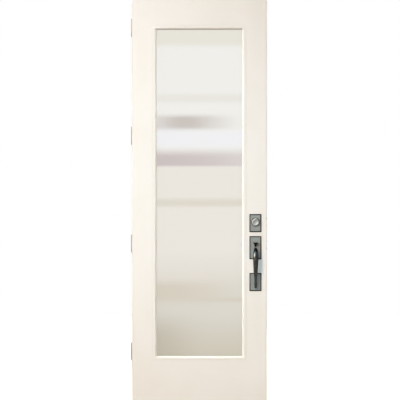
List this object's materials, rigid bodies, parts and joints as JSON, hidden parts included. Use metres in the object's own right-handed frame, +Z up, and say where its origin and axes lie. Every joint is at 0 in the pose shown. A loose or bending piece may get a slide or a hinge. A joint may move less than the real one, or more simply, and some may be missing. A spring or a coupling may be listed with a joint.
{
  "type": "entry door leaf",
  "caption": "Tall white full-lite front door: one long reeded glass light in a moulded frame, butt hinges, a deadbolt with a swinging keyhole cover and a thumb latch with a long grip.",
  "frame": {"origin": "on the back face of the lowest jamb hinge plate, halfway up that plate and in the middle of the leaf's thickness", "axes": "+X from the hinge side to the lock side, +Z up, -Y towards the street; the door is closed"},
  "size_m": [0.8205, 0.1771, 2.4384],
  "materials": {
    "painted_wood": "satin warm white enamel",
    "clear_glass": "clear toughened",
    "reeded_glass": "narrow vertical reeds, toughened",
    "spacer_aluminium": "mill",
    "aged_pewter": "antiqued pewter plate on a cast body",
    "blackened_iron": "blackened",
    "satin_nickel": "satin nickel plate",
    "bolt_steel": "plain steel"
  },
  "bodies": {
    "jamb_side": {"hinge_1_jamb_plate": "satin_nickel", "hinge_2_jamb_plate": "satin_nickel", "hinge_3_jamb_plate": "satin_nickel", "hinge_4_jamb_plate": "satin_nickel", "hinge_1_pin": "satin_nickel", "hinge_2_pin": "satin_nickel", "hinge_3_pin": "satin_nickel", "hinge_4_pin": "satin_nickel"},
    "leaf": {"hinge_stile": "painted_wood", "lock_stile": "painted_wood", "top_rail": "painted_wood", "bottom_rail": "painted_wood", "street_moulding_bottom": "painted_wood", "street_moulding_top": "painted_wood", "street_moulding_hinge_side": "painted_wood", "street_moulding_lock_side": "painted_wood", "room_moulding_bottom": "painted_wood", "room_moulding_top": "painted_wood", "room_moulding_hinge_side": "painted_wood", "room_moulding_lock_side": "painted_wood", "deadbolt_plate": "aged_pewter", "deadbolt_collar": "aged_pewter", "key_cylinder": "aged_pewter", "cover_pin": "aged_pewter", "handle_plate": "aged_pewter", "grip": "aged_pewter", "foot_plate": "aged_pewter", "room_deadbolt_plate": "aged_pewter", "room_lever_plate": "aged_pewter", "thumbturn": "aged_pewter", "room_lever": "aged_pewter", "hinge_1_leaf_plate": "satin_nickel", "hinge_2_leaf_plate": "satin_nickel", "hinge_3_leaf_plate": "satin_nickel", "hinge_4_leaf_plate": "satin_nickel", "outer_glass_pane": "clear_glass", "inner_reeded_pane": "reeded_glass", "glass_spacer": "spacer_aluminium", "thumb_pin": "blackened_iron", "latch_case": "aged_pewter", "deadbolt_case": "aged_pewter", "latch_bolt": "bolt_steel", "dead_bolt": "bolt_steel"},
    "thumbpiece": {"thumbpiece": "blackened_iron"},
    "keyhole_cover": {"keyhole_cover": "aged_pewter"}
  },
  "joints": [
    {"name": "door_swing", "type": "hinge", "parent": "jamb_side", "child": "leaf", "pos_m": [0.0045, 0.03492, 0], "axis": [0, 0, 1], "range_deg": [0, 180]},
    {"name": "thumb_press", "type": "hinge", "parent": "leaf", "child": "thumbpiece", "pos_m": [0.74895, -0.02672, 0.6432], "axis": [1, 0, 0], "range_deg": [0, 18], "stiffness_Nm_per_rad": 0.6, "springref_deg": -11.46},
    {"name": "cover_swing", "type": "hinge", "parent": "leaf", "child": "keyhole_cover", "pos_m": [0.74895, -0.04022, 0.8004], "axis": [0, 1, 0], "range_deg": [-110, 110]}
  ]
}
